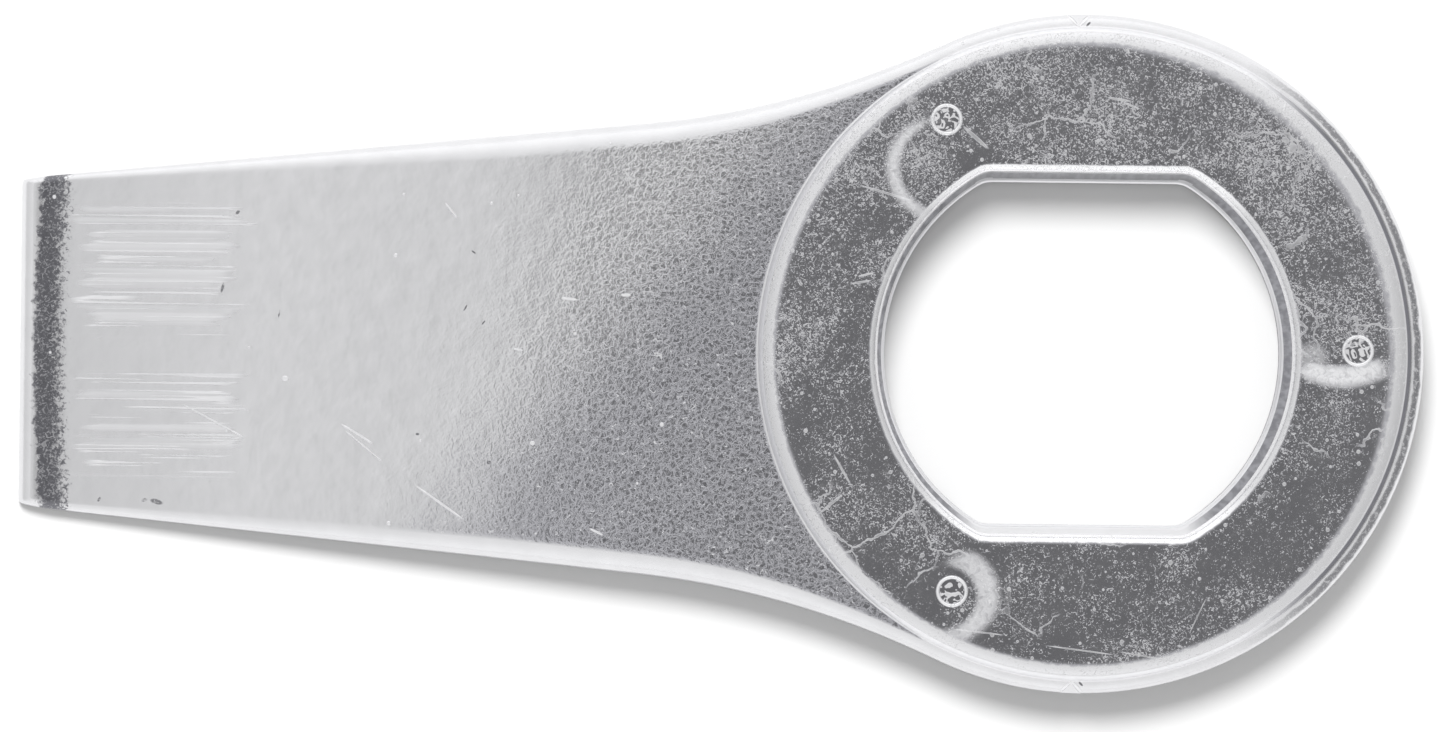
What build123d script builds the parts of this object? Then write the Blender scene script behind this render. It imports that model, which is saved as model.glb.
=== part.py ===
from build123d import *
import math
import os

os.makedirs("parts", exist_ok=True)

# Hydrant wrench: one light-alloy die casting. A round head with a double-flatted eye, and a
# flat handle that tapers in width and in thickness to a pry blade.
# Millimetres. Origin on the eye's axis in the underside plane, handle along -X, boss up +Z.

# Plan of the head and handle
head_radius = 44.7
tip_reach = 139.9  # eye axis to the blade's end
tip_half_width = 21.6
side_angle = 5.65  # each long side, off the handle's axis
neck_radius = 120.0  # hollow where the sides sweep out to the head
wall_draft = 1.5  # lets the casting leave the die upwards

# Thickness
plate_height = 9.3  # head plate, and the handle where it leaves the boss
crest_x = -61.0  # the level top and the ramp would meet here without their blend
crest_blend_radius = 420.0
foot_x = -133.4  # the ramp and the blade's land would meet here without their blend
foot_blend_radius = 25.0
land_height = 3.1  # the blade's flat tip
tip_round = 2.2
edge_round = 1.9  # all round the top edge

# Boss: the raised ring round the eye
boss_height = 11.5
boss_radius = 42.35
boss_round = 2.15

# Eye: a round hole with two flats
eye_round_radius = 26.0
eye_across_flats = 45.0
eye_corner_round = 2.5
trim_band_height = 1.2  # straight band at the underside, where the flash was trimmed
trim_band_step = 0.3
eye_draft = 5.5
lip_round = 1.1

# Marks left by the die
ejector_pitch_radius = 35.5
ejector_first_angle = 1.3
ejector_ring_radius = 1.85
ejector_bead_radius = 0.22
index_offset = -1.25  # the two index notches sit this far towards the handle
index_apex_radius = 42.6
index_length = 2.6  # out past the rim
index_half_width = 2.2
index_floor = 8.2


def handle_plan():
    """Tapered handle and round head in plan, with the hollow neck between them."""
    root_half_width = tip_half_width + tip_reach * math.tan(math.radians(side_angle))
    handle = make_face(
        Polyline(
            (-tip_reach, -tip_half_width),
            (0, -root_half_width),
            (0, root_half_width),
            (-tip_reach, tip_half_width),
            close=True,
        )
    )
    plan = handle + Circle(head_radius)
    necks = [v for v in plan.vertices() if 1 - tip_reach < v.X < 0]
    return fillet(necks, neck_radius)


def side_profile():
    """Thickness of the casting along the handle, looked at from the side."""
    profile = make_face(
        Polyline(
            (head_radius + 5, -1),
            (head_radius + 5, plate_height),
            (crest_x, plate_height),
            (foot_x, land_height),
            (-tip_reach, land_height),
            (-tip_reach, -1),
            close=True,
        )
    )
    for x, height, radius in (
        (crest_x, plate_height, crest_blend_radius),
        (foot_x, land_height, foot_blend_radius),
        (-tip_reach, land_height, tip_round),
    ):
        corner = profile.vertices().sort_by_distance((x, height, 0))[0]
        profile = fillet(corner, radius)
    return profile


def eye_outline(grow):
    """Double-flatted outline, `grow` mm wider all round than the narrowest part of the eye."""
    blank = Circle(eye_round_radius + grow)
    flats = Rectangle(3 * eye_round_radius, eye_across_flats + 2 * grow)
    outline = blank & flats
    return fillet(outline.vertices(), eye_corner_round)


# Plate: the plan drawn up with draft, cut to the side profile, its top edge rounded
plate = extrude(handle_plan(), amount=plate_height + 1, taper=wall_draft)
plate &= extrude(Plane.XZ * side_profile(), amount=head_radius + 10, both=True)
rim = [
    e
    for e in plate.edges()
    if (e @ 0.5).Z > 0.5 * land_height
    and abs(e.tangent_at(0.5).Z) < 0.9
    and ((e @ 0.5).X > 0 or abs((e @ 0.5).Y) > 1)
]
tip_corners = [
    e
    for e in plate.edges()
    if (e @ 0.5).X < 1 - tip_reach and abs(e.tangent_at(0.5).Z) > 0.9
]
plate = fillet(rim + tip_corners, edge_round)

# Boss: a ring standing above the plate, its outer top edge a quarter round
boss = Cylinder(boss_radius, boss_height, align=(Align.CENTER, Align.CENTER, Align.MIN))
boss = fillet(boss.edges().group_by(Axis.Z)[-1], boss_round)
casting = plate + boss

# Eye: straight trimmed band at the underside, a small step, then a drafted wall up to the lip
band = extrude(eye_outline(0), amount=boss_height)
drafted = Pos(0, 0, trim_band_height) * extrude(
    eye_outline(trim_band_step), amount=boss_height, taper=-eye_draft
)
casting -= band
casting -= drafted
lip = [
    e
    for e in casting.edges()
    if (e @ 0.5).Z > boss_height - 0.01 and math.hypot((e @ 0.5).X, (e @ 0.5).Y) < ejector_pitch_radius
]
casting = fillet(lip, lip_round)

# Ejector marks: a low burr ring where each of the three pins met the boss
bead = Plane.XZ * Pos(ejector_ring_radius, boss_height) * Circle(ejector_bead_radius)
burr = revolve(bead, Axis.Z)
for turn in range(3):
    angle = ejector_first_angle + 120 * turn
    casting += Rot(0, 0, angle) * Pos(ejector_pitch_radius, 0, 0) * burr

# Index notches: a vee in the plate's rim on each side of the head, its point at the boss
for side in (-1, 1):
    mouth = index_apex_radius + index_length
    vee = make_face(
        Polyline(
            (index_offset, side * index_apex_radius),
            (index_offset - index_half_width, side * mouth),
            (index_offset + index_half_width, side * mouth),
            close=True,
        )
    )
    casting -= Pos(0, 0, index_floor) * extrude(vee, amount=plate_height, dir=(0, 0, 1))

casting.label = "wrench_casting"
export_step(casting, "parts/wrench_casting.step")
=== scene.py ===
import math

import bmesh
import bpy
from mathutils import Matrix, Vector


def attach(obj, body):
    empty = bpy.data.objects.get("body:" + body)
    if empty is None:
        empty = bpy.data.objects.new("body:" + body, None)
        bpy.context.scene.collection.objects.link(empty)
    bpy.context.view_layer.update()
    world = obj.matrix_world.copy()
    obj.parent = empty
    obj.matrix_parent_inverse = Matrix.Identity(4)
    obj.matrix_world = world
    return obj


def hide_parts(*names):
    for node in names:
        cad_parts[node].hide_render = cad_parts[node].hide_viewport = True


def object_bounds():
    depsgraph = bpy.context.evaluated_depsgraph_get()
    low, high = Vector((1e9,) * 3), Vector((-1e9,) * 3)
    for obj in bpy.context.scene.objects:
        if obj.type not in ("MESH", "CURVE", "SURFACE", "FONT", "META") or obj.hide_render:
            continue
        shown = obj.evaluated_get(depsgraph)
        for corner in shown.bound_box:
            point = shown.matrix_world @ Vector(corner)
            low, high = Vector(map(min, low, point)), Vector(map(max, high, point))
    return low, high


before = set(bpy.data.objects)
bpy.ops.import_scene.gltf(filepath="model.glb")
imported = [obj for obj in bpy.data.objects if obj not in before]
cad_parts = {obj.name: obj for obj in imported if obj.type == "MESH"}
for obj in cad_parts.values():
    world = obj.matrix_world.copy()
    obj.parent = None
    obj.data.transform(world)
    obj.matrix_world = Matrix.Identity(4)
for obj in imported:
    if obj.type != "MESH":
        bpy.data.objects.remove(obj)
cad_low, cad_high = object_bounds()
MM = 0.001


# ---------------------------------------------------------------------------------------------
# Head of the wrench: one light-alloy die casting with the handle, tumbled bright. Its eye is
# cored with draft and has two flats, a straight band at the underside where the flash was
# trimmed, and a rounded lip. The boss stands proud round the eye and rolls down to the plate.
# ---------------------------------------------------------------------------------------------
head_radius = cad_high.x
plate_top = 9.3 * MM
boss_top = 11.5 * MM
foot_radius = 42.6 * MM  # the boss meets the plate here
boss_roll = 2.35 * MM  # width of the boss's rolled edge
wide_roll = 1.0 * MM  # the roll is this much wider at its widest, where the die was worn
wide_roll_turn = math.radians(22)
eye_radius = 26.0 * MM
eye_half_flats = 22.5 * MM
eye_corner = 0.4 * MM
eye_draft = math.radians(5.5)
lip_round = 1.1 * MM
wall_draft = math.tan(math.radians(1.5))
tip_x = cad_low.x
tip_half_width = 21.6 * MM
side_angle = math.radians(5.65)
neck_radius = 120.0 * MM

# Each long side is a straight line, and each neck an arc that touches its side and the head.
side_normal = Vector((-math.sin(side_angle), math.cos(side_angle)))
side_along = Vector((math.cos(side_angle), math.sin(side_angle)))
side_distance = Vector((tip_x, tip_half_width)).dot(side_normal)
neck_reach = math.sqrt((head_radius + neck_radius) ** 2 - (side_distance + neck_radius) ** 2)
neck_centre = side_normal * (side_distance + neck_radius) - side_along * neck_reach
neck_turn = math.atan2(neck_centre.y, neck_centre.x)  # where the neck leaves the head's circle

free_steps = 124  # faces round the head's free side
neck_steps = 68  # faces across the handle's root
underside_steps = 4
eye_wall_steps = 5
lip_steps = 6
face_steps = 14
roll_steps = 8


def eye_outline(turn, grow):
    """A point of the double-flatted eye, made wider all round by grow, with its corners eased."""
    x = (eye_radius + grow) * math.cos(turn)
    y = (eye_radius + grow) * math.sin(turn)
    flat = eye_half_flats + grow
    near = max(eye_corner - abs(abs(y) - flat), 0) / eye_corner
    eased = min(abs(y), flat) - near * near * eye_corner / 4
    return Vector((x, math.copysign(eased, y), 0))


def ring(turn, radius):
    return Vector((radius * math.cos(turn), radius * math.sin(turn), 0))


def boss_edge(turn):
    """Radius at which the boss's level face starts to roll over."""
    worn = max(math.cos(turn - wide_roll_turn), 0) ** 2
    return foot_radius - boss_roll - wide_roll * worn


def up(height):
    return Vector((0, 0, height))


def turn_of(point):
    """The direction from the eye's axis that a point was drawn out along."""
    return point[bmesh.from_edit_mesh(casting.data).verts.layers.float["turn"]]


def stretch(place):
    """Extrudes the selected line of edges and puts each new point where place says."""
    bpy.ops.mesh.extrude_region_move()
    cage = bmesh.from_edit_mesh(casting.data)
    for point in cage.verts:
        if point.select:
            point.co = place(point)
    bmesh.update_edit_mesh(casting.data)


def pick_open_edges(wanted):
    """Selects the open edges whose two points are both wanted."""
    bpy.ops.mesh.select_all(action="DESELECT")
    bpy.ops.mesh.select_mode(type="EDGE")
    cage = bmesh.from_edit_mesh(casting.data)
    for edge in cage.edges:
        if edge.is_boundary and all(wanted(point) for point in edge.verts):
            edge.select_set(True)
    bmesh.update_edit_mesh(casting.data)


bpy.ops.object.select_all(action="DESELECT")
bpy.ops.mesh.primitive_circle_add(vertices=free_steps + neck_steps, radius=foot_radius)
casting = bpy.context.object
casting.name = "cast_wrench"
casting.data.name = "cast_wrench"
bpy.ops.object.mode_set(mode="EDIT")
bpy.ops.mesh.select_all(action="SELECT")
cage = bmesh.from_edit_mesh(casting.data)
turns = cage.verts.layers.float.new("turn")
cage.verts.ensure_lookup_table()
for index, point in enumerate(cage.verts):
    if index <= free_steps:
        turn = neck_turn * (2 * index / free_steps - 1)
    else:
        turn = neck_turn + 2 * (math.pi - neck_turn) * (index - free_steps) / neck_steps
    point[turns] = turn
    point.co = ring(turn, foot_radius)
bmesh.update_edit_mesh(casting.data)

# Underside, from under the boss's foot in to the eye
for step in range(1, underside_steps + 1):
    share = step / underside_steps
    stretch(lambda p: ring(turn_of(p), foot_radius).lerp(eye_outline(turn_of(p), 0), share))

# Eye wall: the trimmed band, its small step, the drafted wall and the rounded lip
band_top = 1.2 * MM
band_step = 0.3 * MM
# Each row of the wall: how far it stands outside the narrowest outline, and its height
wall = [(0, 0.2 * band_top), (0, 0.85 * band_top), (0.1 * band_step, 0.96 * band_top)]
wall += [(0.9 * band_step, band_top), (band_step, 1.2 * band_top)]
lip_foot = boss_top - lip_round
for step in range(1, eye_wall_steps + 1):
    height = band_top + (lip_foot - band_top) * step / eye_wall_steps
    wall.append((band_step + (height - band_top) * math.tan(eye_draft), height))
lip_start = wall[-1][0]
for step in range(1, lip_steps + 1):
    angle = (math.pi / 2 - eye_draft) * step / lip_steps + eye_draft
    grow = lip_start + lip_round * (math.cos(eye_draft) - math.cos(angle))
    wall.append((grow, lip_foot + lip_round * math.sin(angle)))
for grow, height in wall:
    stretch(lambda p: eye_outline(turn_of(p), grow) + up(min(height, boss_top)))

# Boss: the level face, its rolled edge, and the crease at its foot
lip_grow = wall[-1][0]
for step in range(1, face_steps + 1):
    share = step / face_steps
    stretch(
        lambda p: eye_outline(turn_of(p), lip_grow).lerp(ring(turn_of(p), boss_edge(turn_of(p))), share)
        + up(boss_top)
    )


def roll_point(turn, angle):
    radius = boss_edge(turn) + (foot_radius - boss_edge(turn)) * math.sin(angle)
    return ring(turn, radius) + up(boss_top - (boss_top - plate_top) * (1 - math.cos(angle)))


for step in range(1, roll_steps + 1):
    stretch(lambda p: roll_point(turn_of(p), math.pi / 2 * step / roll_steps))


# ---------------------------------------------------------------------------------------------
# Handle: the same casting, drawn out from the boss's foot row by row. Its top is level by the
# head, bends down into a 5 degree ramp, and ends in the pry blade's short level land.
# ---------------------------------------------------------------------------------------------
land_height = 3.1 * MM
crest_x = -61.0 * MM
crest_half = 18.3 * MM  # the bend from level to ramp reaches this far each way
land_x = -134.3 * MM
land_half = 1.1 * MM
tip_round = 2.1 * MM
ramp = (plate_top - land_height) / (crest_x - land_x)


def top_height(x):
    """Height of the handle's top at x, with both changes of slope blended."""
    height = plate_top - ramp * max(crest_x - x, 0)
    near = max(crest_half - abs(x - crest_x), 0)
    height = max(height - ramp * near * near / (4 * crest_half), land_height)
    near = max(land_half - abs(x - land_x), 0)
    return height + ramp * near * near / (4 * land_half)


head_edge = 1.85 * MM  # radius of the top edge round the head
neck_edge = 2.8 * MM  # and in the hollow of the neck
blade_edge = 0.8 * MM  # and at the blade's sides
swell_x = -19 * MM  # the edge starts to widen here, over this length
swell_length = 30 * MM
thin_x = -75 * MM  # and to narrow here, over this length
thin_length = 60 * MM


def edge_round(x):
    """Radius of the top edge at x along the handle."""
    swell = min(max((swell_x - x) / swell_length, 0), 1)
    fade = min(max((thin_x - x) / thin_length, 0), 1)
    full = head_edge + (neck_edge - head_edge) * swell * swell * (3 - 2 * swell)
    return full + (blade_edge - full) * fade


# The outline on the +Y side, from the head's circle to the blade, as points with the way out
neck_rows = 24
side_rows = 30
blade_start = -131 * MM
blade_rows = (-132.0, -132.8, -133.6, -134.4, -135.4, -136.4, -137.2)  # millimetres, closer together
turn_slack = 1e-4  # radians
side_rise = math.tan(side_angle)
side_at_eye = side_distance / side_normal.y  # the side's line would pass the eye's axis this far out
neck_end = side_normal * side_distance - side_along * neck_reach
start_angle = math.atan2(-neck_centre.y, -neck_centre.x)
end_angle = math.atan2(-side_normal.y, -side_normal.x)
stations = []
for step in range(1, neck_rows + 1):
    angle = start_angle + (end_angle - start_angle) * step / neck_rows
    inward = Vector((math.cos(angle), math.sin(angle)))
    stations.append((neck_centre + inward * neck_radius, -inward))
side_places = [neck_end.x + (blade_start - neck_end.x) * s / side_rows for s in range(1, side_rows + 1)]
side_places += [x * MM for x in blade_rows]
for x in side_places:
    stations.append((Vector((x, side_at_eye + side_rise * x)), side_normal))

pick_open_edges(lambda p: neck_turn - turn_slack < turn_of(p) < 2 * math.pi - neck_turn + turn_slack)
for count, (edge, outward) in enumerate(stations, 1):
    row_end = edge - outward * (edge_round(edge.x) + wall_draft * top_height(edge.x))
    if count == len(stations):
        row_end.x = tip_x + tip_round
    goal = max(row_end.x, neck_end.x) if count <= neck_rows else row_end.x
    goal = neck_end.x if count < neck_rows else goal
    middle_x = -foot_radius + (goal + foot_radius) * min(count / neck_rows, 1)

    def on_row(point):
        """A row is bowed like the boss's foot at first, and is straight by the neck's end."""
        sideways = math.sin(turn_of(point)) / math.sin(neck_turn)
        bow = (math.cos(turn_of(point)) + 1) / (math.cos(neck_turn) + 1)
        x = middle_x + (row_end.x - middle_x) * bow
        z = top_height(x) if point.co.z > land_height / 2 else 0
        return Vector((x, row_end.y * sideways, z))

    stretch(on_row)


# ---------------------------------------------------------------------------------------------
# Rim: the rounded top edge and the side wall all round the casting. The wall has 1.5 degrees
# of draft, so that the casting left the die, and the blade's corners are nearly sharp.
# ---------------------------------------------------------------------------------------------
corner_y = side_at_eye + side_rise * tip_x
corner_cut = 0.22 * MM
corner_x = -134 * MM  # the side's edge starts to turn into the end's edge here, over this length
corner_length = 3.2 * MM
corner_pull = 1.5 * MM
last_row_x = tip_x + tip_round
weld = 0.01 * MM


def outline_beside(point):
    """The underside's outline beside an inset rim point, and how far the top edge rolls down."""
    x, y = point.co.x, abs(point.co.y)
    side = Vector((1, math.copysign(1, point.co.y)))
    if math.atan2(y, x) <= neck_turn + turn_slack:
        return Vector((point.co.x, point.co.y)).normalized() * head_radius, head_edge
    if x > neck_end.x:
        out = (neck_centre - Vector((x, y))).normalized()
        return (neck_centre - out * neck_radius) * side, edge_round(x)
    if x > last_row_x + weld:
        near = min(max((corner_x - x) / corner_length, 0), 1)
        x_out = x - corner_pull * near**2
        out = Vector((x_out, side_at_eye + side_rise * x_out))
        return out * side, edge_round(x) + (tip_round - edge_round(x)) * near**3
    share = y / (corner_y - blade_edge - wall_draft * land_height)
    if share > 0.99:
        return Vector((tip_x + corner_cut, corner_y - corner_cut)) * side, tip_round
    return Vector((tip_x, share * (corner_y - corner_cut))) * side, tip_round


def rim_point(point, angle):
    """A point on the rounded edge, angle of the way round from the top."""
    layers = bmesh.from_edit_mesh(casting.data).verts.layers
    start = point[layers.float_vector["start"]]
    reach = point[layers.float_vector["edge"]] - start
    reach.z = 0
    reach *= 1 - wall_draft * start.z / reach.length
    drop = point[layers.float["drop"]] * (1 - math.cos(angle))
    return start + reach * math.sin(angle) - up(drop)


def wall_point(point, height):
    """A point on the side wall, drawn in by the draft as it rises."""
    layers = bmesh.from_edit_mesh(casting.data).verts.layers
    edge = point[layers.float_vector["edge"]]
    inward = point[layers.float_vector["start"]] - edge
    inward.z = 0
    return edge + inward.normalized() * wall_draft * height + up(height)


cage = bmesh.from_edit_mesh(casting.data)
cage.verts.layers.float_vector.new("start")
cage.verts.layers.float_vector.new("edge")
cage.verts.layers.float.new("drop")
layers = cage.verts.layers
for point in cage.verts:
    if point.is_boundary:
        outline, fall = outline_beside(point)
        point[layers.float_vector["start"]] = point.co
        point[layers.float_vector["edge"]] = outline.to_3d()
        point[layers.float["drop"]] = fall
bmesh.update_edit_mesh(casting.data)

edge_steps = 7
side_wall_rows = (0.7 * MM, 0.2 * MM, 0)  # heights, set close where the wall meets the underside
pick_open_edges(lambda p: p.co.z < weld)
stretch(lambda p: wall_point(p, 0))
pick_open_edges(lambda p: p.co.z > land_height / 2)
for step in range(1, edge_steps + 1):
    stretch(lambda p: rim_point(p, math.pi / 2 * step / edge_steps))
for height in side_wall_rows:
    stretch(lambda p: wall_point(p, min(p.co.z / 2, height)))
bpy.ops.mesh.select_all(action="SELECT")
bpy.ops.mesh.remove_doubles(threshold=weld)
bpy.ops.mesh.normals_make_consistent(inside=False)
bpy.ops.object.mode_set(mode="OBJECT")

bpy.ops.object.modifier_add(type="SUBSURF")
casting.modifiers[-1].levels = 1
casting.modifiers[-1].render_levels = 1
bpy.ops.object.modifier_apply(modifier=casting.modifiers[-1].name)
for name in ("turn", "start", "edge", "drop"):
    casting.data.attributes.remove(casting.data.attributes[name])


# ---------------------------------------------------------------------------------------------
# Marks of the die: a low burr ring where each of three ejector pins met the boss, and a vee
# index notch cut through the plate's rim on each side of the head.
# ---------------------------------------------------------------------------------------------
pin_pitch = 35.5 * MM
pin_first_turn = math.radians(1.3)
pin_radius = 1.85 * MM
burr_bead = 0.22 * MM
notch_x = -1.25 * MM
notch_apex = 42.6 * MM
notch_length = 2.6 * MM
notch_fall = 3.0 * MM  # the notch's floor drops this far over that length
notch_spread = 1.5  # mouth width over length
notch_point = 0.02  # and the width at the inner end, which is all but a point
crease_angle = math.radians(32)  # edges sharper than this stay sharp


def combine(tool, operation):
    """Joins a tool shape to the casting or cuts it away, then clears the tool."""
    bpy.ops.object.select_all(action="DESELECT")
    bpy.context.view_layer.objects.active = casting
    casting.select_set(True)
    bpy.ops.object.modifier_add(type="BOOLEAN")
    casting.modifiers[-1].operation = operation
    casting.modifiers[-1].solver = "EXACT"
    casting.modifiers[-1].object = tool
    bpy.ops.object.modifier_apply(modifier=casting.modifiers[-1].name)
    bpy.data.objects.remove(tool, do_unlink=True)


def join_all(pieces):
    """Makes one object of several, so that they are combined with the casting in one go."""
    bpy.ops.object.select_all(action="DESELECT")
    for piece in pieces:
        piece.select_set(True)
    bpy.context.view_layer.objects.active = pieces[0]
    bpy.ops.object.join()
    return bpy.context.object


pins = [ring(pin_first_turn + math.radians(120) * third, pin_pitch) for third in range(3)]
burrs = []
for pin in pins:
    bpy.ops.object.select_all(action="DESELECT")
    bpy.ops.mesh.primitive_torus_add(
        location=pin + up(boss_top),
        major_radius=pin_radius,
        minor_radius=burr_bead,
        major_segments=48,
        minor_segments=10,
    )
    burrs.append(bpy.context.object)
combine(join_all(burrs), "UNION")

notches = []
for side in (1, -1):
    bpy.ops.object.select_all(action="DESELECT")
    bpy.ops.mesh.primitive_cube_add(
        size=notch_length,
        location=(notch_x, side * (notch_apex + notch_length / 2), plate_top + notch_length / 2),
    )
    wedge = bpy.context.object
    bpy.ops.object.mode_set(mode="EDIT")
    cage = bmesh.from_edit_mesh(wedge.data)
    for point in cage.verts:
        outer = side * point.co.y > 0
        point.co.x *= notch_spread if outer else notch_point
        if point.co.z < 0:
            point.co.z -= notch_fall if outer else 0
    bmesh.update_edit_mesh(wedge.data)
    bpy.ops.object.mode_set(mode="OBJECT")
    notches.append(wedge)
combine(join_all(notches), "DIFFERENCE")

bpy.ops.object.shade_smooth_by_angle(angle=crease_angle)

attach(casting, "root")
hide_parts("wrench_casting")


# ---------------------------------------------------------------------------------------------
# Boss finish: as-cast die skin, rubbed smooth and dark by tumbling. Pits and dents scatter the
# light and show pale, raised veins follow the die's heat cracks, and each pin left a smear.
# ---------------------------------------------------------------------------------------------
eased = {"interpolation_type": "SMOOTHSTEP"}  # every MapRange here eases in and out
falling = {"To Min": 1.0, "To Max": 0.0}
tinted = {"give": 2, "data_type": "RGBA"}  # Mix blends colours at inputs 6 and 7, numbers at 2 and 3
nick_core = 0.6  # a nick is whole out to this share of its reach, and fades beyond it


def linear(code):
    """An sRGB hex colour as linear red, green, blue and alpha."""
    parts = [int(code[i : i + 2], 16) / 255 for i in (1, 3, 5)]
    return (*[p / 12.92 if p <= 0.04045 else ((p + 0.055) / 1.055) ** 2.4 for p in parts], 1.0)


def add(tree, kind, inputs=None, give=0, **settings):
    """Adds a node with its settings, sets or links its inputs, and gives one output or "all"."""
    made = tree.nodes.new("ShaderNode" + kind)
    for name, value in settings.items():
        setattr(made, name, value)
    for name, value in (inputs or {}).items():
        if isinstance(value, bpy.types.NodeSocket):
            tree.links.new(value, made.inputs[name])
        else:
            made.inputs[name].default_value = value
    return made.outputs if give == "all" else made.outputs[give]


def across(millimetres):
    """The texture scale at which one cell of a pattern is this wide."""
    return 1 / (millimetres * MM)


def start_metal(name):
    """A bare metal, and where a point of it lies: as a vector, as x, y, z, and off the eye's axis."""
    metal = bpy.data.materials.new(name)
    metal.use_nodes = True
    tree = metal.node_tree
    shader = tree.nodes["Principled BSDF"]
    shader.inputs["Metallic"].default_value = 1.0
    place = add(tree, "TexCoord", give="Object")
    parts = add(tree, "SeparateXYZ", {0: place}, give="all")
    in_plan = add(tree, "VectorMath", {0: place, 1: (1.0, 1.0, 0.0)}, operation="MULTIPLY")
    radius = add(tree, "VectorMath", {0: in_plan}, give="Value", operation="LENGTH")
    return metal, tree, shader, place, parts, radius


def spot(tree, place, centre, radius, soft):
    """One inside a circle on the boss's face, nothing outside it. Millimetres."""
    middle = Vector((centre[0], centre[1], 0)) * MM + up(boss_top)
    gap = add(tree, "VectorMath", {0: place, 1: middle}, give="Value", operation="DISTANCE")
    border = {"From Min": (radius - soft) * MM, "From Max": (radius + soft) * MM}
    return add(tree, "MapRange", {"Value": gap, **border, **falling}, **eased)


def nick(tree, place, centre, length, width, turned):
    """One inside a long thin patch of the top, nothing outside it. Millimetres and degrees."""
    lie = {
        "Vector": place,
        "Location": (centre[0] * MM, centre[1] * MM, 0),
        "Rotation": (0, 0, math.radians(turned)),
        "Scale": (length / 2 * MM, width / 2 * MM, 1),
    }
    local = add(tree, "Mapping", lie, vector_type="TEXTURE")
    reach = add(tree, "VectorMath", {0: local}, give="Value", operation="LENGTH")
    border = {"From Min": nick_core, "From Max": 1.0}
    return add(tree, "MapRange", {"Value": reach, **border, **falling}, **eased)


def round_dents(tree, place, spacing, largest, border):
    """One inside round dents of random size, one to a cell. Size and border are shares of a cell."""
    cell = add(tree, "TexVoronoi", {"Vector": place, "Scale": across(spacing)}, give="all")
    size = add(tree, "SeparateColor", {0: cell["Color"]})
    size = add(tree, "Math", {0: size, 1: largest}, operation="MULTIPLY")
    past = add(tree, "Math", {0: cell["Distance"], 1: size}, operation="SUBTRACT")
    limits = {"From Min": 0.0, "From Max": border}
    return add(tree, "MapRange", {"Value": past, **limits, **falling}, **eased)


boss_skin, tree, shader, place, parts, radius = start_metal("as_cast_boss_skin")
normal_z = add(tree, "SeparateXYZ", {0: add(tree, "NewGeometry", give="Normal")}, give="Z")

# Worn ragged where the face starts to roll over. Pattern widths are in millimetres throughout.
ragged_width = 0.9
ragged_bite = 0.05
rolled_over = 0.995  # how far up a face looks, with the raggedness added
still_level = 1.022
ragged = add(tree, "TexNoise", {"Vector": place, "Scale": across(ragged_width), "Detail": 3.0})
ragged = add(tree, "Math", {0: ragged, 1: ragged_bite}, operation="MULTIPLY")
upward = add(tree, "Math", {0: normal_z, 1: ragged}, operation="ADD")
border = {"From Min": rolled_over, "From Max": still_level}
rolled = add(tree, "MapRange", {"Value": upward, **border, **falling}, **eased)

# Worm-like dents, in patches, and thickest on the +Y side
dent_width = 0.4
patch_width = 7.0
patch_crowding = 0.36
far_side = {"From Min": -30 * MM, "From Max": 35 * MM, "To Min": 0.0, "To Max": 0.07}
dent_border = {"From Min": 0.78, "From Max": 0.96}
patchy = add(tree, "TexNoise", {"Vector": place, "Scale": across(patch_width), "Detail": 3.0})
patchy = add(tree, "Math", {0: patchy, 1: patch_crowding}, operation="MULTIPLY")
sidedness = add(tree, "MapRange", {"Value": parts["Y"], **far_side}, **eased)
crowding = add(tree, "Math", {0: patchy, 1: sidedness}, operation="ADD")
dents = {"Vector": place, "Scale": across(dent_width), "Detail": 1.5, "Distortion": 1.7}
dents = add(tree, "Math", {0: add(tree, "TexNoise", dents), 1: crowding}, operation="ADD")
dents = add(tree, "MapRange", {"Value": dents, **dent_border}, **eased)
pecks = round_dents(tree, place, spacing=1.9, largest=0.12, border=0.06)

# Raised veins: the edges of large warped cells, with only some of them showing
vein_spacing = 10.0
warp_width = 5.0
warp_reach = 6 * MM
shown_width = 8.0
vein_border = {"From Min": 0.005, "From Max": 0.016, "To Min": 0.9, "To Max": 0.0}
shown_border = {"From Min": 0.5, "From Max": 0.64}
warp = add(tree, "TexNoise", {"Vector": place, "Scale": across(warp_width), "Detail": 4.0}, give="Color")
warp = add(tree, "VectorMath", {0: warp, 1: Vector((1, 1, 1)) * warp_reach}, operation="MULTIPLY")
bent = add(tree, "VectorMath", {0: place, 1: warp}, operation="ADD")
veins = {"Vector": bent, "Scale": across(vein_spacing)}
veins = add(tree, "TexVoronoi", veins, feature="DISTANCE_TO_EDGE")
veins = add(tree, "MapRange", {"Value": veins, **vein_border}, **eased)
shown = add(tree, "TexNoise", {"Vector": place, "Scale": across(shown_width), "Detail": 1.0})
shown = add(tree, "MapRange", {"Value": shown, **shown_border}, **eased)
veins = add(tree, "Math", {0: veins, 1: shown}, operation="MULTIPLY")

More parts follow.
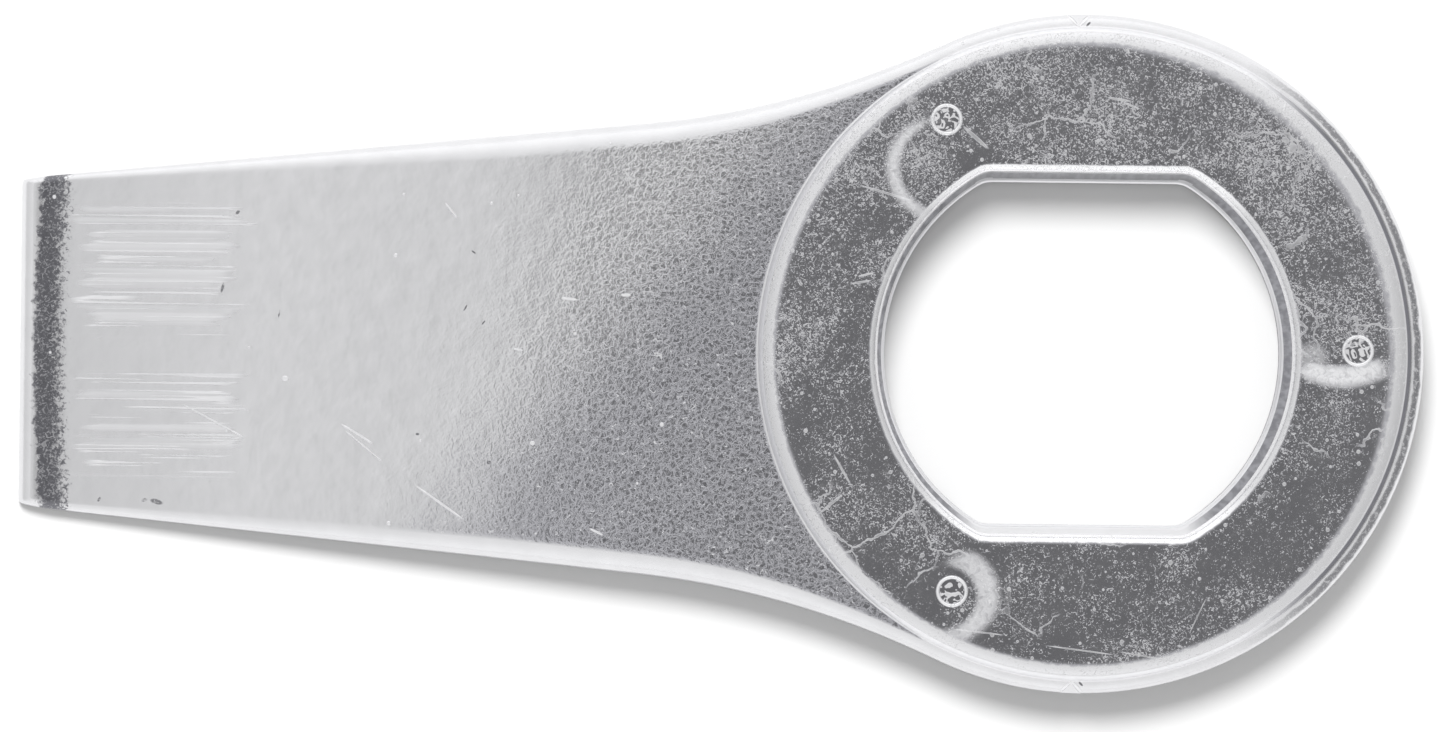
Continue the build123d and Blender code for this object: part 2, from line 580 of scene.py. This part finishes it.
# Smears of cold metal beside the pins: what a second circle leaves uncovered of a first, near a
# third. Each circle has its middle and its radius, and the last number is the smear's strength.
smear_soft = 0.8
bare_soft = 0.6
near_soft = 1.2
smears = 0.0
for outer, reach, hollow, clear, middle, spread, strength in (
    ((33.4, 7.4), 11.2, (33.2, 9.8), 11.2, (33.6, -4.4), 6.0, 1.0),
    ((-19.2, 24.0), 6.8, (-18.6, 24.1), 6.0, (-21.0, 23.0), 7.0, 0.8),
    ((-17.0, -31.5), 6.0, (-17.9, -31.9), 4.2, (-13.0, -32.0), 6.4, 0.75),
    ((29.4, -0.4), 2.0, (0, 0), 1.0, (29.4, -0.4), 3.0, 0.4),
):
    smear = spot(tree, place, outer, reach, smear_soft)
    bare = spot(tree, place, hollow, clear, bare_soft)
    bare = add(tree, "Math", {0: 1.0, 1: bare}, operation="SUBTRACT")
    smear = add(tree, "Math", {0: smear, 1: bare}, operation="MULTIPLY")
    near = spot(tree, place, middle, spread, near_soft)
    smear = add(tree, "Math", {0: smear, 1: near}, operation="MULTIPLY")
    smear = add(tree, "Math", {0: smear, 1: strength}, operation="MULTIPLY")
    smears = add(tree, "Math", {0: smears, 1: smear}, operation="MAXIMUM")
broken = {"Vector": place, "Scale": across(0.9), "Detail": 3.0, "Distortion": 1.5}
broken_border = {"From Min": 0.3, "From Max": 0.6, "To Min": 0.65, "To Max": 1.0}
broken = add(tree, "MapRange", {"Value": add(tree, "TexNoise", broken), **broken_border}, **eased)
smears = add(tree, "Math", {0: smears, 1: broken}, operation="MULTIPLY")

# Long hair scratches, and the short strokes beside them: middle, length, width and turn
hairs = 0.0
for centre, length, width, turned in (
    ((-0.3, -38.6), 9.5, 0.22, -7),
    ((8.8, -39.4), 8.6, 0.20, -9),
    ((-26.0, 20.6), 8.4, 0.30, -16),
    ((-14.6, 28.0), 4.9, 0.55, -41),
    ((-13.5, -36.4), 7.0, 0.22, -6),
    ((-28.7, 10.0), 2.4, 0.30, 14),
    ((-29.4, 9.0), 3.0, 0.30, 10),
    ((4.0, 33.2), 3.4, 0.35, -8),
    ((5.6, 32.4), 2.6, 0.30, -20),
    ((15.0, -34.0), 5.4, 0.20, 65),
    ((-31.5, -15.5), 5.0, 0.35, -60),
    ((-33.0, -20.0), 4.4, 0.35, 40),
):
    hair = nick(tree, place, centre, length, width, turned)
    hairs = add(tree, "Math", {0: hairs, 1: hair}, operation="MAXIMUM")

# The pins' burr rings, rubbed white, and the torn metal inside them
ring_soft = 0.1
stroke_border = {"From Min": 0.5, "From Max": 0.56}
torn_white = 0.7
torn = 0.0
rings = 0.0
for pin in pins:
    within = spot(tree, place, pin / MM, (pin_radius - burr_bead) / MM, ring_soft)
    around = spot(tree, place, pin / MM, (pin_radius + burr_bead) / MM, ring_soft)
    band = add(tree, "Math", {0: around, 1: within}, operation="SUBTRACT")
    torn = add(tree, "Math", {0: torn, 1: within}, operation="MAXIMUM")
    rings = add(tree, "Math", {0: rings, 1: band}, operation="MAXIMUM")
strokes = {"Vector": place, "Scale": across(1.2), "Detail": 0.0, "Distortion": 2.4}
strokes = add(tree, "MapRange", {"Value": add(tree, "TexNoise", strokes), **stroke_border}, **eased)
untorn = add(tree, "Math", {0: 1.0, 1: torn}, operation="SUBTRACT")
torn = add(tree, "Math", {0: torn, 1: strokes}, operation="MULTIPLY")
whitened = add(tree, "Math", {0: torn, 1: torn_white}, operation="MULTIPLY")
rings = add(tree, "Math", {0: rings, 1: whitened}, operation="MAXIMUM")

# All the marks together, some paler than others
marks = add(tree, "Math", {0: dents, 1: pecks}, operation="MAXIMUM")
marks = add(tree, "Math", {0: marks, 1: untorn}, operation="MULTIPLY")
for mark in (veins, hairs, torn):
    marks = add(tree, "Math", {0: marks, 1: mark}, operation="MAXIMUM")
varied_border = {"From Min": 0.3, "From Max": 0.7, "To Min": 0.6, "To Max": 1.0}
varied = add(tree, "TexNoise", {"Vector": place, "Scale": across(1.1)})
varied = add(tree, "MapRange", {"Value": varied, **varied_border}, **eased)
pale = add(tree, "Math", {0: marks, 1: varied}, operation="MULTIPLY")

# The rolls: white on the lip over the eye's flats, greyer at its round ends and outside
lip_zone = {"From Min": 31 * MM, "From Max": 35 * MM}
flat_zone = {"From Min": 17 * MM, "From Max": 22 * MM}
outside = add(tree, "MapRange", {"Value": radius, **lip_zone}, **eased)
off_axis = add(tree, "Math", {0: parts["Y"]}, operation="ABSOLUTE")
beside = add(tree, "MapRange", {"Value": off_axis, **flat_zone, **falling}, **eased)
outside = add(tree, "Math", {0: outside, 1: beside}, operation="MAXIMUM")
roll_skin = add(tree, "Mix", {0: outside, 6: linear("#FAFAFC"), 7: linear("#DCDCDE")}, **tinted)

# The crease at the boss's foot: a painted highlight by the handle, painted shade round the head's far
# side
foot_start = {"From Min": 41.95 * MM, "From Max": 42.15 * MM}
crease_shade_side = {"From Min": 20 * MM, "From Max": 32 * MM}
painted_crease = add(tree, "MapRange", {"Value": radius, **foot_start}, **eased)
away = add(tree, "MapRange", {"Value": parts["X"], **crease_shade_side}, **eased)
painted_crease_light = add(tree, "Mix", {0: away, 6: linear("#F4F4F6"), 7: linear("#84848A")}, **tinted)

# Colour, roughness and relief
boss_relief = 0.06 * MM
tone = add(tree, "TexNoise", {"Vector": place, "Scale": across(4.0), "Detail": 4.0})
skin = add(tree, "Mix", {0: tone, 6: linear("#A6A6AB"), 7: linear("#BEBEC2")}, **tinted)
for where, colour in (
    (pale, linear("#DADADC")),
    (smears, linear("#F6F6F8")),
    (rolled, roll_skin),
    (rings, linear("#F4F4F6")),
    # the crease at the boss's foot takes a painted highlight and painted shade
    (painted_crease, painted_crease_light),
):
    skin = add(tree, "Mix", {0: where, 6: skin, 7: colour}, **tinted)
tree.links.new(skin, shader.inputs["Base Color"])
scuffed = add(tree, "Math", {0: smears, 1: rings}, operation="MAXIMUM")
rough = 0.17  # of the rubbed face
for where, roughness in ((pale, 0.4), (scuffed, 0.5), (rolled, 0.24), (painted_crease, 0.6)):
    rough = add(tree, "Mix", {0: where, 2: rough, 3: roughness})
tree.links.new(rough, shader.inputs["Roughness"])
relief = add(tree, "Math", {0: marks, 1: 0.6}, operation="MULTIPLY")
for raised, share in ((tone, 0.5), (smears, 1.5)):
    raised = add(tree, "Math", {0: raised, 1: share}, operation="MULTIPLY")
    relief = add(tree, "Math", {0: relief, 1: raised}, operation="ADD")
bump = add(tree, "Bump", {"Height": relief, "Distance": boss_relief, "Strength": 1.0})
tree.links.new(bump, shader.inputs["Normal"])


# ---------------------------------------------------------------------------------------------
# Handle finish: the die's spark-eroded grain, sandy by the head. It fades to a smooth ramp,
# scratched by use in two groups behind the blade. The blade's land is painted dark: a painted
# reflection of the dark port overhead in its level top.
# ---------------------------------------------------------------------------------------------
handle_skin, tree, shader, place, parts, radius = start_metal("spark_eroded_handle_skin")
normal_z = add(tree, "SeparateXYZ", {0: add(tree, "NewGeometry", give="Normal")}, give="Z")
wander = add(tree, "TexNoise", {"Vector": place, "Scale": across(6.0), "Detail": 4.0})

# Sandy grain, faded out along the handle with a wandering border, and weaker on the rolled edge
grain_width = 0.62
grain_depth = 0.24
grain_wander = 14 * MM
grain_slant = -0.4  # millimetres along for each one across
grain_border = {"From Min": -84 * MM, "From Max": -44 * MM}
edge_looks = {"From Min": 0.975, "From Max": 0.998}  # how far up the rolled edge and the top look
edge_grain = {"From Min": 0.0, "From Max": 1.0, "To Min": 0.3, "To Max": 1.0}
wandered = add(tree, "Math", {0: wander, 1: grain_wander}, operation="MULTIPLY")
along = add(tree, "Math", {0: parts["X"], 1: wandered}, operation="ADD")
slant = add(tree, "Math", {0: parts["Y"], 1: grain_slant}, operation="MULTIPLY")
along = add(tree, "Math", {0: along, 1: slant}, operation="ADD")
grain_fade = add(tree, "MapRange", {"Value": along, **grain_border}, **eased)
level = add(tree, "MapRange", {"Value": normal_z, **edge_looks}, **eased)
on_edge = add(tree, "MapRange", {"Value": level, **edge_grain}, **eased)
grain_fade = add(tree, "Math", {0: grain_fade, 1: on_edge}, operation="MULTIPLY")
grain = {"Vector": place, "Scale": across(grain_width), "Detail": 2.5, "Distortion": 0.8}
grain = {"Value": add(tree, "TexNoise", grain), "From Min": 0.25, "From Max": 0.75}
grain = add(tree, "MapRange", grain, **eased)
grain_height = add(tree, "Math", {0: grain_fade, 1: grain_depth}, operation="MULTIPLY")
grain_height = add(tree, "Math", {0: grain, 1: grain_height}, operation="MULTIPLY")

# Painted shade by the boss, standing for the dark port that the level top reflects there, with
# the edge of the dark slanting across the handle
dark_wander = 10 * MM
dark_slant = -0.8  # millimetres along for each one across
dark_border = {"From Min": -72 * MM, "From Max": -46 * MM}
slant = add(tree, "Math", {0: parts["Y"], 1: dark_slant}, operation="MULTIPLY")
along = add(tree, "Math", {0: parts["X"], 1: slant}, operation="ADD")
wandered = add(tree, "Math", {0: wander, 1: dark_wander}, operation="MULTIPLY")
along = add(tree, "Math", {0: along, 1: wandered}, operation="ADD")
painted_shade_by_boss = add(tree, "MapRange", {"Value": along, **dark_border}, **eased)
painted_shade_by_boss = add(tree, "Math", {0: painted_shade_by_boss, 1: level}, operation="MULTIPLY")

# Few dents, and the short strokes of the boss's wear near its foot
worm_border = {"From Min": 0.66, "From Max": 0.76, "To Min": 0.0, "To Max": 0.8}
pecks = round_dents(tree, place, spacing=5.0, largest=0.036, border=0.03)
worms = {"Vector": place, "Scale": across(0.7), "Detail": 1.0, "Distortion": 1.8}
worms = add(tree, "MapRange", {"Value": add(tree, "TexNoise", worms), **worm_border}, **eased)
worms = add(tree, "Math", {0: worms, 1: painted_shade_by_boss}, operation="MULTIPLY")

# Scratches along the handle, fine and broad, in two groups with uneven ends
scratch_drawn = (0.012, 1.0, 0.1)  # the pattern's scale each way: stretched along the handle
scratch_middle = -121.5 * MM
scratch_reach = 14 * MM
scratch_fade = 2.5 * MM
end_wander = 12 * MM
group_soft = 1 * MM
broad_share = 0.6
stretched = add(tree, "Mapping", {"Vector": place, "Scale": scratch_drawn})
lines = add(tree, "TexNoise", {"Vector": stretched, "Scale": across(0.36), "Detail": 0.0})
lines = add(tree, "MapRange", {"Value": lines, "From Min": 0.61, "From Max": 0.67}, **eased)
broad = add(tree, "TexNoise", {"Vector": stretched, "Scale": across(1.3)})
broad = add(tree, "MapRange", {"Value": broad, "From Min": 0.45, "From Max": 0.7}, **eased)
groups = 0.0
for near_y, far_y in ((1 * MM, 18 * MM), (-17 * MM, -4 * MM)):
    middle = (near_y + far_y) / 2
    half = (far_y - near_y) / 2
    off = add(tree, "Math", {0: parts["Y"], 1: middle}, operation="SUBTRACT")
    off = add(tree, "Math", {0: off}, operation="ABSOLUTE")
    border = {"From Min": half - group_soft, "From Max": half + group_soft}
    group = add(tree, "MapRange", {"Value": off, **border, **falling}, **eased)
    groups = add(tree, "Math", {0: groups, 1: group}, operation="MAXIMUM")
off = add(tree, "Math", {0: parts["X"], 1: -scratch_middle}, operation="ADD")
off = add(tree, "Math", {0: off}, operation="ABSOLUTE")
ends = add(tree, "TexNoise", {"Vector": stretched, "Scale": across(1.1), "Detail": 1.0})
ends = add(tree, "Math", {0: ends, 1: end_wander}, operation="MULTIPLY")
off = add(tree, "Math", {0: off, 1: ends}, operation="ADD")
border = {"From Min": scratch_reach, "From Max": scratch_reach + scratch_fade}
inside = add(tree, "MapRange", {"Value": off, **border, **falling}, **eased)
groups = add(tree, "Math", {0: groups, 1: inside}, operation="MULTIPLY")
lines = add(tree, "Math", {0: lines, 1: groups}, operation="MULTIPLY")
broad = add(tree, "Math", {0: broad, 1: groups}, operation="MULTIPLY")
broad = add(tree, "Math", {0: broad, 1: broad_share}, operation="MULTIPLY")

# Long slanting scratches and bright dents, then the few dark pits: middle, length, width and turn
for centre, length, width, turned in (
    ((-95.0, -11.6), 5.2, 0.40, -31),
    ((-94.1, -13.2), 6.6, 0.30, -39),
    ((-84.0, -20.5), 8.4, 0.40, -34.5),
    ((-114.0, -10.1), 9.8, 0.32, -27.6),
    ((-104.6, -4.4), 0.9, 0.7, 0),
    ((-83.0, 17.8), 2.6, 0.40, -50),
    ((-67.4, 6.4), 2.2, 0.40, -5),
    ((-60.0, 7.0), 1.4, 0.45, 0),
    ((-74.0, -0.3), 1.3, 0.35, -10),
    ((-63.5, -24.0), 2.2, 0.40, -25),
    ((-72.0, -12.5), 0.8, 0.6, 0),
):
    scratch = nick(tree, place, centre, length, width, turned)
    lines = add(tree, "Math", {0: lines, 1: scratch}, operation="MAXIMUM")
pits_and_notch_shadow = 0.0
for centre, length, width, turned in (
    ((-113.0, 7.4), 1.6, 0.45, 75),
    ((-121.4, -20.8), 2.0, 0.8, -15),
    ((-123.0, -20.6), 1.0, 0.5, 20),
    ((-129.0, -20.6), 0.8, 0.4, 60),
    ((-111.1, 17.3), 0.8, 0.5, 40),
    ((-81.0, 5.1), 1.1, 0.28, 60),
    ((-78.6, 3.2), 0.9, 0.25, 50),
    ((-87.1, -11.5), 0.6, 0.4, 0),
    ((-77.7, -15.1), 0.7, 0.5, 30),
    ((-105.5, 4.0), 1.2, 0.22, 80),
    ((-80.0, 12.4), 0.8, 0.28, -35),
):
    pit = nick(tree, place, centre, length, width, turned)
    pits_and_notch_shadow = add(tree, "Math", {0: pits_and_notch_shadow, 1: pit}, operation="MAXIMUM")
broken_border = {"From Min": 0.35, "From Max": 0.5, "To Min": 0.2, "To Max": 0.85}
broken = add(tree, "TexNoise", {"Vector": place, "Scale": across(0.5)})
broken = add(tree, "MapRange", {"Value": broken, **broken_border}, **eased)
pits_and_notch_shadow = add(tree, "Math", {0: pits_and_notch_shadow, 1: broken}, operation="MULTIPLY")

# The blade's land: its borders are ragged and bow with the blade's end, and dents dot it
land_ragged = 2.6 * MM
land_bow = -1.9  # metres along for each metre across, squared
land_dotted = 5.2 * MM
land_border = {"From Min": -131.3 * MM, "From Max": -130 * MM}
land_end = {"From Min": -136.8 * MM, "From Max": -136.2 * MM}
land_dent_border = {"From Min": 0.5, "From Max": 0.76, "To Min": 0.0, "To Max": 0.36}
ragged = add(tree, "TexNoise", {"Vector": place, "Scale": across(1.0), "Detail": 3.0})
ragged = add(tree, "Math", {0: ragged, 1: land_ragged}, operation="MULTIPLY")
bow = add(tree, "Math", {0: parts["Y"], 1: parts["Y"]}, operation="MULTIPLY")
bow = add(tree, "Math", {0: bow, 1: land_bow}, operation="MULTIPLY")
along = add(tree, "Math", {0: parts["X"], 1: ragged}, operation="ADD")
along = add(tree, "Math", {0: along, 1: bow}, operation="ADD")
dotted = add(tree, "TexNoise", {"Vector": place, "Scale": across(0.45), "Distortion": 0.8})
dotted = add(tree, "Math", {0: dotted, 1: land_dotted}, operation="MULTIPLY")
dotted = add(tree, "Math", {0: along, 1: dotted}, operation="ADD")
land = add(tree, "MapRange", {"Value": dotted, **land_border, **falling}, **eased)
past_end = add(tree, "MapRange", {"Value": along, **land_end}, **eased)
land = add(tree, "Math", {0: land, 1: past_end}, operation="MULTIPLY")
dents = {"Vector": place, "Scale": across(0.55), "Detail": 1.5, "Distortion": 1.7}
dents = add(tree, "MapRange", {"Value": add(tree, "TexNoise", dents), **land_dent_border}, **eased)
land_dents = add(tree, "Math", {0: dents, 1: land}, operation="MULTIPLY")

# The die's parting line, a thin groove in the rim on the side away from the handle, painted dark
# with painted shade. The crease at the boss's foot gets painted shade there too, and a painted
# highlight on the handle's side.
parting_radius = 43.8 * MM
parting_jag = 0.6 * MM
parting_border = {"From Min": 0.24 * MM, "From Max": 0.52 * MM}
broken_border = {"From Min": 0.25, "From Max": 0.5, "To Min": 0.3, "To Max": 0.8}
foot_end = {"From Min": 42.65 * MM, "From Max": 42.85 * MM}
foot_share = 0.6
rim_dark = {"From Min": 20 * MM, "From Max": 33 * MM}
jagged = add(tree, "TexNoise", {"Vector": place, "Scale": across(1.6), "Detail": 3.0})
jagged = add(tree, "Math", {0: jagged, 1: parting_jag}, operation="MULTIPLY")
off = add(tree, "Math", {0: radius, 1: jagged}, operation="ADD")
off = add(tree, "Math", {0: off, 1: parting_radius}, operation="SUBTRACT")
off = add(tree, "Math", {0: off}, operation="ABSOLUTE")
parting_and_crease_shade = add(tree, "MapRange", {"Value": off, **parting_border, **falling}, **eased)
broken = add(tree, "TexNoise", {"Vector": place, "Scale": across(0.5), "Distortion": 1.0})
broken = add(tree, "MapRange", {"Value": broken, **broken_border}, **eased)
parting_and_crease_shade = add(tree, "Math", {0: parting_and_crease_shade, 1: broken}, operation="MULTIPLY")
painted_crease = add(tree, "MapRange", {"Value": radius, **foot_end, **falling}, **eased)
painted_crease_shade = add(tree, "Math", {0: painted_crease, 1: foot_share}, operation="MULTIPLY")
parting_and_crease_shade = add(tree, "Math", {0: parting_and_crease_shade, 1: painted_crease_shade}, operation="MAXIMUM")
away = add(tree, "MapRange", {"Value": parts["X"], **rim_dark}, **eased)
parting_and_crease_shade = add(tree, "Math", {0: parting_and_crease_shade, 1: away}, operation="MULTIPLY")
handle_side = add(tree, "Math", {0: 1.0, 1: away}, operation="SUBTRACT")
painted_crease_highlight = add(tree, "Math", {0: painted_crease, 1: handle_side}, operation="MULTIPLY")

# Each index notch: painted highlights on its two arms, and a painted shadow on their +X side
arm_spread = 0.75
arm_y = 43.55
arm_turn = 48
shade_y = 43.1
shade_turn = 45
for side in (-1, 1):
    for lean in (-1, 1):
        centre = (notch_x / MM + arm_spread * lean, arm_y * side)
        arm = nick(tree, place, centre, 2.1, 0.5, arm_turn * lean * side)
        lines = add(tree, "Math", {0: lines, 1: arm}, operation="MAXIMUM")
    shade = nick(tree, place, (0.0, shade_y * side), 0.9, 0.35, shade_turn * side)
    pits_and_notch_shadow = add(tree, "Math", {0: pits_and_notch_shadow, 1: shade}, operation="MAXIMUM")

# Colour, roughness and relief
handle_relief = 0.17 * MM
worn_border = {"From Min": -136 * MM, "From Max": -105 * MM}
worn = add(tree, "MapRange", {"Value": parts["X"], **worn_border, **falling}, **eased)
worn = add(tree, "Math", {0: worn, 1: level}, operation="MULTIPLY")
hollow = add(tree, "Math", {0: parting_and_crease_shade, 1: pits_and_notch_shadow}, operation="MAXIMUM")
pale = add(tree, "Math", {0: pecks, 1: worms}, operation="MAXIMUM")
for mark in (lines, broad, land_dents, painted_crease_highlight):
    pale = add(tree, "Math", {0: pale, 1: mark}, operation="MAXIMUM")
mottle = add(tree, "TexNoise", {"Vector": place, "Scale": across(3.0), "Detail": 4.0})
skin = add(tree, "Mix", {0: mottle, 6: linear("#DADADC"), 7: linear("#E6E6E8")}, **tinted)
for where, colour in (
    (worn, "#D4D4D6"),
    # painted shade on the level top by the boss
    (painted_shade_by_boss, "#B4B4B9"),
    # the land is painted dark, a painted reflection of the dark port in its level top
    (land, "#76767B"),
    # pits, and the painted shade of the parting groove, the crease and the notches
    (hollow, "#76767A"),
    # pale marks, with the painted highlights of the crease and the notch arms
    (pale, "#F0F0F2"),
):
    skin = add(tree, "Mix", {0: where, 6: skin, 7: linear(colour)}, **tinted)
tree.links.new(skin, shader.inputs["Base Color"])
rough = 0.26  # of the smooth ramp
for where, roughness in ((grain_fade, 0.15), (pale, 0.45)):
    rough = add(tree, "Mix", {0: where, 2: rough, 3: roughness})
tree.links.new(rough, shader.inputs["Roughness"])
relief = grain_height
for raised, share in ((pale, 0.4), (mottle, 0.3)):
    raised = add(tree, "Math", {0: raised, 1: share}, operation="MULTIPLY")
    relief = add(tree, "Math", {0: relief, 1: raised}, operation="ADD")
relief = add(tree, "Math", {0: relief, 1: parting_and_crease_shade}, operation="SUBTRACT")
bump = add(tree, "Bump", {"Height": relief, "Distance": handle_relief, "Strength": 1.0})
tree.links.new(bump, shader.inputs["Normal"])


# ---------------------------------------------------------------------------------------------
# Wall finish: the drafted walls, the eye and the underside, tumbled to an even pale satin. The
# eye's round ends and its far flat are painted darker and streaked upwards: painted shade for the
# shadowed floor that they reflect. They are rougher too.
# ---------------------------------------------------------------------------------------------
eye_zone = {"From Min": 28 * MM, "From Max": 31 * MM}
end_zone = {"From Min": 13 * MM, "From Max": 18 * MM}
far_flat_zone = {"From Min": 0.0, "From Max": 15 * MM, "To Min": 0.0, "To Max": 0.7}
drawn_up = (1.0, 1.0, 0.08)  # the pattern's scale each way: stretched upwards
wall_relief = 0.05 * MM
wall_skin, tree, shader, place, parts, radius = start_metal("tumbled_satin_wall")
in_eye = add(tree, "MapRange", {"Value": radius, **eye_zone, **falling}, **eased)
off_axis = add(tree, "Math", {0: parts["X"]}, operation="ABSOLUTE")
round_end = add(tree, "MapRange", {"Value": off_axis, **end_zone}, **eased)
far_flat = add(tree, "MapRange", {"Value": parts["Y"], **far_flat_zone}, **eased)
painted_wall_shade = add(tree, "Math", {0: round_end, 1: far_flat}, operation="MAXIMUM")
painted_wall_shade = add(tree, "Math", {0: in_eye, 1: painted_wall_shade}, operation="MULTIPLY")
drawn = add(tree, "Mapping", {"Vector": place, "Scale": drawn_up})
wall_streaks = add(tree, "TexNoise", {"Vector": drawn, "Scale": across(0.7)})
wall_streaks = add(tree, "MapRange", {"Value": wall_streaks, "From Min": 0.35, "From Max": 0.65}, **eased)
wall_shade_colour = add(tree, "Mix", {0: wall_streaks, 6: linear("#8C8C90"), 7: linear("#ACACB0")}, **tinted)
mottle = add(tree, "TexNoise", {"Vector": place, "Scale": across(2.5), "Detail": 4.0})
skin = add(tree, "Mix", {0: mottle, 6: linear("#DADADC"), 7: linear("#EAEAEC")}, **tinted)
# painted shade on the eye's round ends and its far flat
skin = add(tree, "Mix", {0: painted_wall_shade, 6: skin, 7: wall_shade_colour}, **tinted)
tree.links.new(skin, shader.inputs["Base Color"])
# their reflections are tinted darker too, as painted shade
wall_shade_tint = add(tree, "Mix", {0: painted_wall_shade, 6: linear("#FFFFFF"), 7: linear("#D8D8DC")}, **tinted)
tree.links.new(wall_shade_tint, shader.inputs["Specular Tint"])
rough = add(tree, "Mix", {0: mottle, 2: 0.24, 3: 0.36})
rough = add(tree, "Mix", {0: painted_wall_shade, 2: rough, 3: 0.5})
tree.links.new(rough, shader.inputs["Roughness"])
bump = add(tree, "Bump", {"Height": mottle, "Distance": wall_relief, "Strength": 1.0})
tree.links.new(bump, shader.inputs["Normal"])

# Faces that look well upwards take the boss's or the handle's finish, the rest the wall's
for metal in (wall_skin, handle_skin, boss_skin):
    casting.data.materials.append(metal)
wall_slot, handle_slot, boss_slot = range(3)
upward_limit = 0.1
lowest_top = 1 * MM
for face in casting.data.polygons:
    face.material_index = wall_slot
    if face.normal.z > upward_limit and face.center.z > lowest_top:
        on_boss = face.center.xy.length < foot_radius and face.center.z > plate_top
        face.material_index = boss_slot if on_boss else handle_slot


# ---------------------------------------------------------------------------------------------
# Studio: a white paper floor, one soft key light, and a bright tent overhead. The tent has a
# dark port straight above, where the camera looks through, and is dimmer on its +X side.
# ---------------------------------------------------------------------------------------------
floor_size = 6.0
paper_roughness = 0.9
bpy.ops.object.select_all(action="DESELECT")
bpy.ops.mesh.primitive_plane_add(size=floor_size)
floor = bpy.context.object
floor.name = "floor"
paper = bpy.data.materials.new("white_paper")
paper.use_nodes = True
paper.node_tree.nodes["Principled BSDF"].inputs["Base Color"].default_value = linear("#C4C4C4")
paper.node_tree.nodes["Principled BSDF"].inputs["Roughness"].default_value = paper_roughness
floor.data.materials.append(paper)

# The tent's brightness: one level, more of it towards +Y and -Y, and less towards the ends. It
# starts to darken at the port's rim, and the port is at its darkest inside.
tent_base = 0.94
lamp_gain = 0.32
far_lamp_gain = 0.1
end_loss = -0.22
plus_x_loss = -0.07
port_brightness = 0.24
port_aim = Vector((0.035, -0.044, 1.0)).normalized()
port_rim = math.cos(math.radians(14))
port_inside = math.cos(math.radians(7.5))
tent = bpy.data.worlds.new("light_tent")
bpy.context.scene.world = tent
tent.use_nodes = True
tree = tent.node_tree
way = add(tree, "TexCoord", give="Generated")
facing = add(tree, "VectorMath", {0: way, 1: port_aim}, give="Value", operation="DOT_PRODUCT")
port = add(tree, "MapRange", {"Value": facing, "From Min": port_rim, "From Max": port_inside}, **eased)
ways = add(tree, "SeparateXYZ", {0: way}, give="all")
lamps = add(tree, "Math", {0: ways["Y"], 1: ways["Y"]}, operation="MULTIPLY")
lamps = add(tree, "Math", {0: lamps, 1: lamp_gain}, operation="MULTIPLY")
lean = add(tree, "Math", {0: ways["Y"], 1: far_lamp_gain}, operation="MULTIPLY")
lamps = add(tree, "Math", {0: lamps, 1: lean}, operation="ADD")
ends = add(tree, "Math", {0: ways["X"], 1: end_loss}, operation="MULTIPLY")
ends = add(tree, "Math", {0: ends, 1: plus_x_loss}, operation="ADD")
ends = add(tree, "Math", {0: ways["X"], 1: ends}, operation="MULTIPLY")
ends = add(tree, "Math", {0: ends, 1: tent_base}, operation="ADD")
brightness = add(tree, "Math", {0: lamps, 1: ends}, operation="ADD")
brightness = add(tree, "Mix", {0: port, 2: brightness, 3: port_brightness})
tree.nodes["Background"].inputs["Color"].default_value = (1, 1, 1, 1)
tree.links.new(brightness, tree.nodes["Background"].inputs["Strength"])

# The key: high on the far side, hidden from mirror-like reflections
key_width = 0.46
key_power = 20.0
key_place = Vector((-0.16, 0.56, 1.07))
key_data = bpy.data.lights.new("key", "AREA")
key_data.shape = "DISK"
key_data.size = key_width
key_data.energy = key_power
key = bpy.data.objects.new("key", key_data)
bpy.context.scene.collection.objects.link(key)
key.location = key_place
key.rotation_euler = (-key_place).to_track_quat("-Z", "Y").to_euler()
key.visible_glossy = False

# The camera looks straight down, turned a little about its own axis
camera_height = 0.925
camera_middle = Vector((-47.3 * MM, -1.57 * MM, camera_height))  # before the turn
roll = math.radians(0.67)
view_width = 189.1 * MM  # seen across the view, at the height of the casting's rim
rim_height = 7.4 * MM
sensor_width = 36
camera_data = bpy.data.cameras.new("camera")
camera = bpy.data.objects.new("camera", camera_data)
bpy.context.scene.collection.objects.link(camera)
bpy.context.scene.camera = camera
camera_data.sensor_width = sensor_width
camera_data.lens = sensor_width * (camera_height - rim_height) / view_width
camera_middle.rotate(Matrix.Rotation(roll, 3, "Z"))
camera.location = camera_middle
camera.rotation_euler = (0, 0, roll)
bpy.context.scene.view_settings.view_transform = "Standard"
